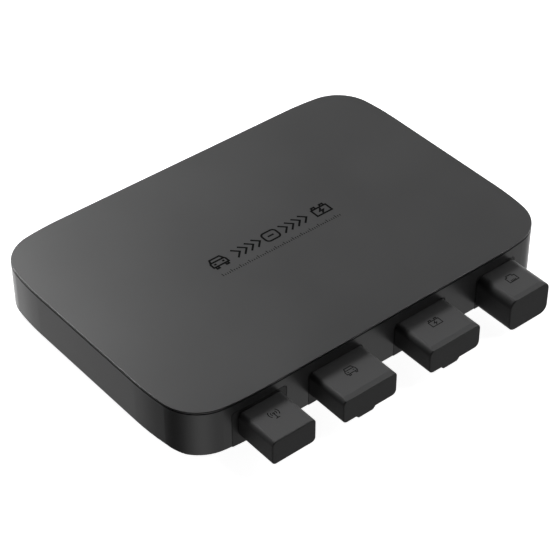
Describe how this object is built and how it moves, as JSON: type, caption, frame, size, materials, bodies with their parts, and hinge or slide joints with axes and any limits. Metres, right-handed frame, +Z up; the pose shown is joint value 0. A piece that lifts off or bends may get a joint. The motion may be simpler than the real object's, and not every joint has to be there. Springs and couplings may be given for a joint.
{
  "type": "vehicle battery charger",
  "caption": "Flat rounded box that charges a storage battery from a vehicle, with capped radio, power and data ports along its front edge and a ribbed base to screw down.",
  "frame": {"origin": "centre of the four mounting holes, on the flat mounting face under the base", "axes": "+X right along the port edge seen from the ports, -Y out of the ports, +Z up from the mounting face to the cover"},
  "size_m": [0.25, 0.2018, 0.031],
  "materials": {
    "cover_metal": "satin dark-grey anodised plate",
    "housing_metal": "satin dark-grey coated casting",
    "base_metal": "matte dark-grey coated casting",
    "port_plastic": "fine-textured black moulding",
    "cap_rubber": "matte moulded rubber",
    "seal_rubber": "smooth black rubber",
    "contact_metal": "gold-plated",
    "screw_steel": "zinc-plated steel",
    "clamp_steel": "satin",
    "board_laminate": "green solder-masked laminate",
    "header_plastic": "black",
    "ferrite": "grey ferrite",
    "copper": "bare copper",
    "can_sleeve": "shrink sleeve",
    "chip_resin": "black moulded resin",
    "thermal_pad": "soft grey pad",
    "fuse_plastic": "orange blade-fuse case",
    "shield_metal": "tinned sheet"
  },
  "bodies": {
    "body": {"antenna_clamp": "clamp_steel", "antenna_contacts": "contact_metal", "antenna_port": "port_plastic", "antenna_seal": "seal_rubber", "base_gasket": "seal_rubber", "base_plate": "base_metal", "base_screws": "screw_steel", "battery_bus_bars": "copper", "battery_clamp": "clamp_steel", "battery_contacts": "contact_metal", "battery_port": "port_plastic", "battery_seal": "seal_rubber", "board_header": "header_plastic", "board_screws": "screw_steel", "control_board": "board_laminate", "controller_chip": "chip_resin", "data_clamp": "clamp_steel", "data_contacts": "contact_metal", "data_port": "port_plastic", "data_seal": "seal_rubber", "fuse_blades": "screw_steel", "fuse_case": "fuse_plastic", "housing": "housing_metal", "input_capacitors": "can_sleeve", "left_inductor_coil": "copper", "left_inductor_core": "ferrite", "main_board": "board_laminate", "output_capacitors": "can_sleeve", "radio_module": "board_laminate", "radio_shield": "shield_metal", "right_inductor_coil": "copper", "right_inductor_core": "ferrite", "shunt": "copper", "thermal_pads": "thermal_pad", "top_cover": "cover_metal", "transformer_coil": "copper", "transformer_core": "ferrite", "transistors": "chip_resin", "vehicle_bus_bars": "copper", "vehicle_clamp": "clamp_steel", "vehicle_contacts": "contact_metal", "vehicle_port": "port_plastic", "vehicle_seal": "seal_rubber"},
    "antenna_cap": {"antenna_cap": "cap_rubber"},
    "vehicle_cap": {"vehicle_cap": "cap_rubber"},
    "battery_cap": {"battery_cap": "cap_rubber"},
    "data_cap": {"data_cap": "cap_rubber"}
  },
  "joints": [
    {"name": "antenna_cap_slide", "type": "slide", "parent": "body", "child": "antenna_cap", "axis": [0, -1, 0], "range_m": [0, 0.034]},
    {"name": "vehicle_cap_slide", "type": "slide", "parent": "body", "child": "vehicle_cap", "axis": [0, -1, 0], "range_m": [0, 0.034]},
    {"name": "battery_cap_slide", "type": "slide", "parent": "body", "child": "battery_cap", "axis": [0, -1, 0], "range_m": [0, 0.034]},
    {"name": "data_cap_slide", "type": "slide", "parent": "body", "child": "data_cap", "axis": [0, -1, 0], "range_m": [0, 0.034]}
  ]
}
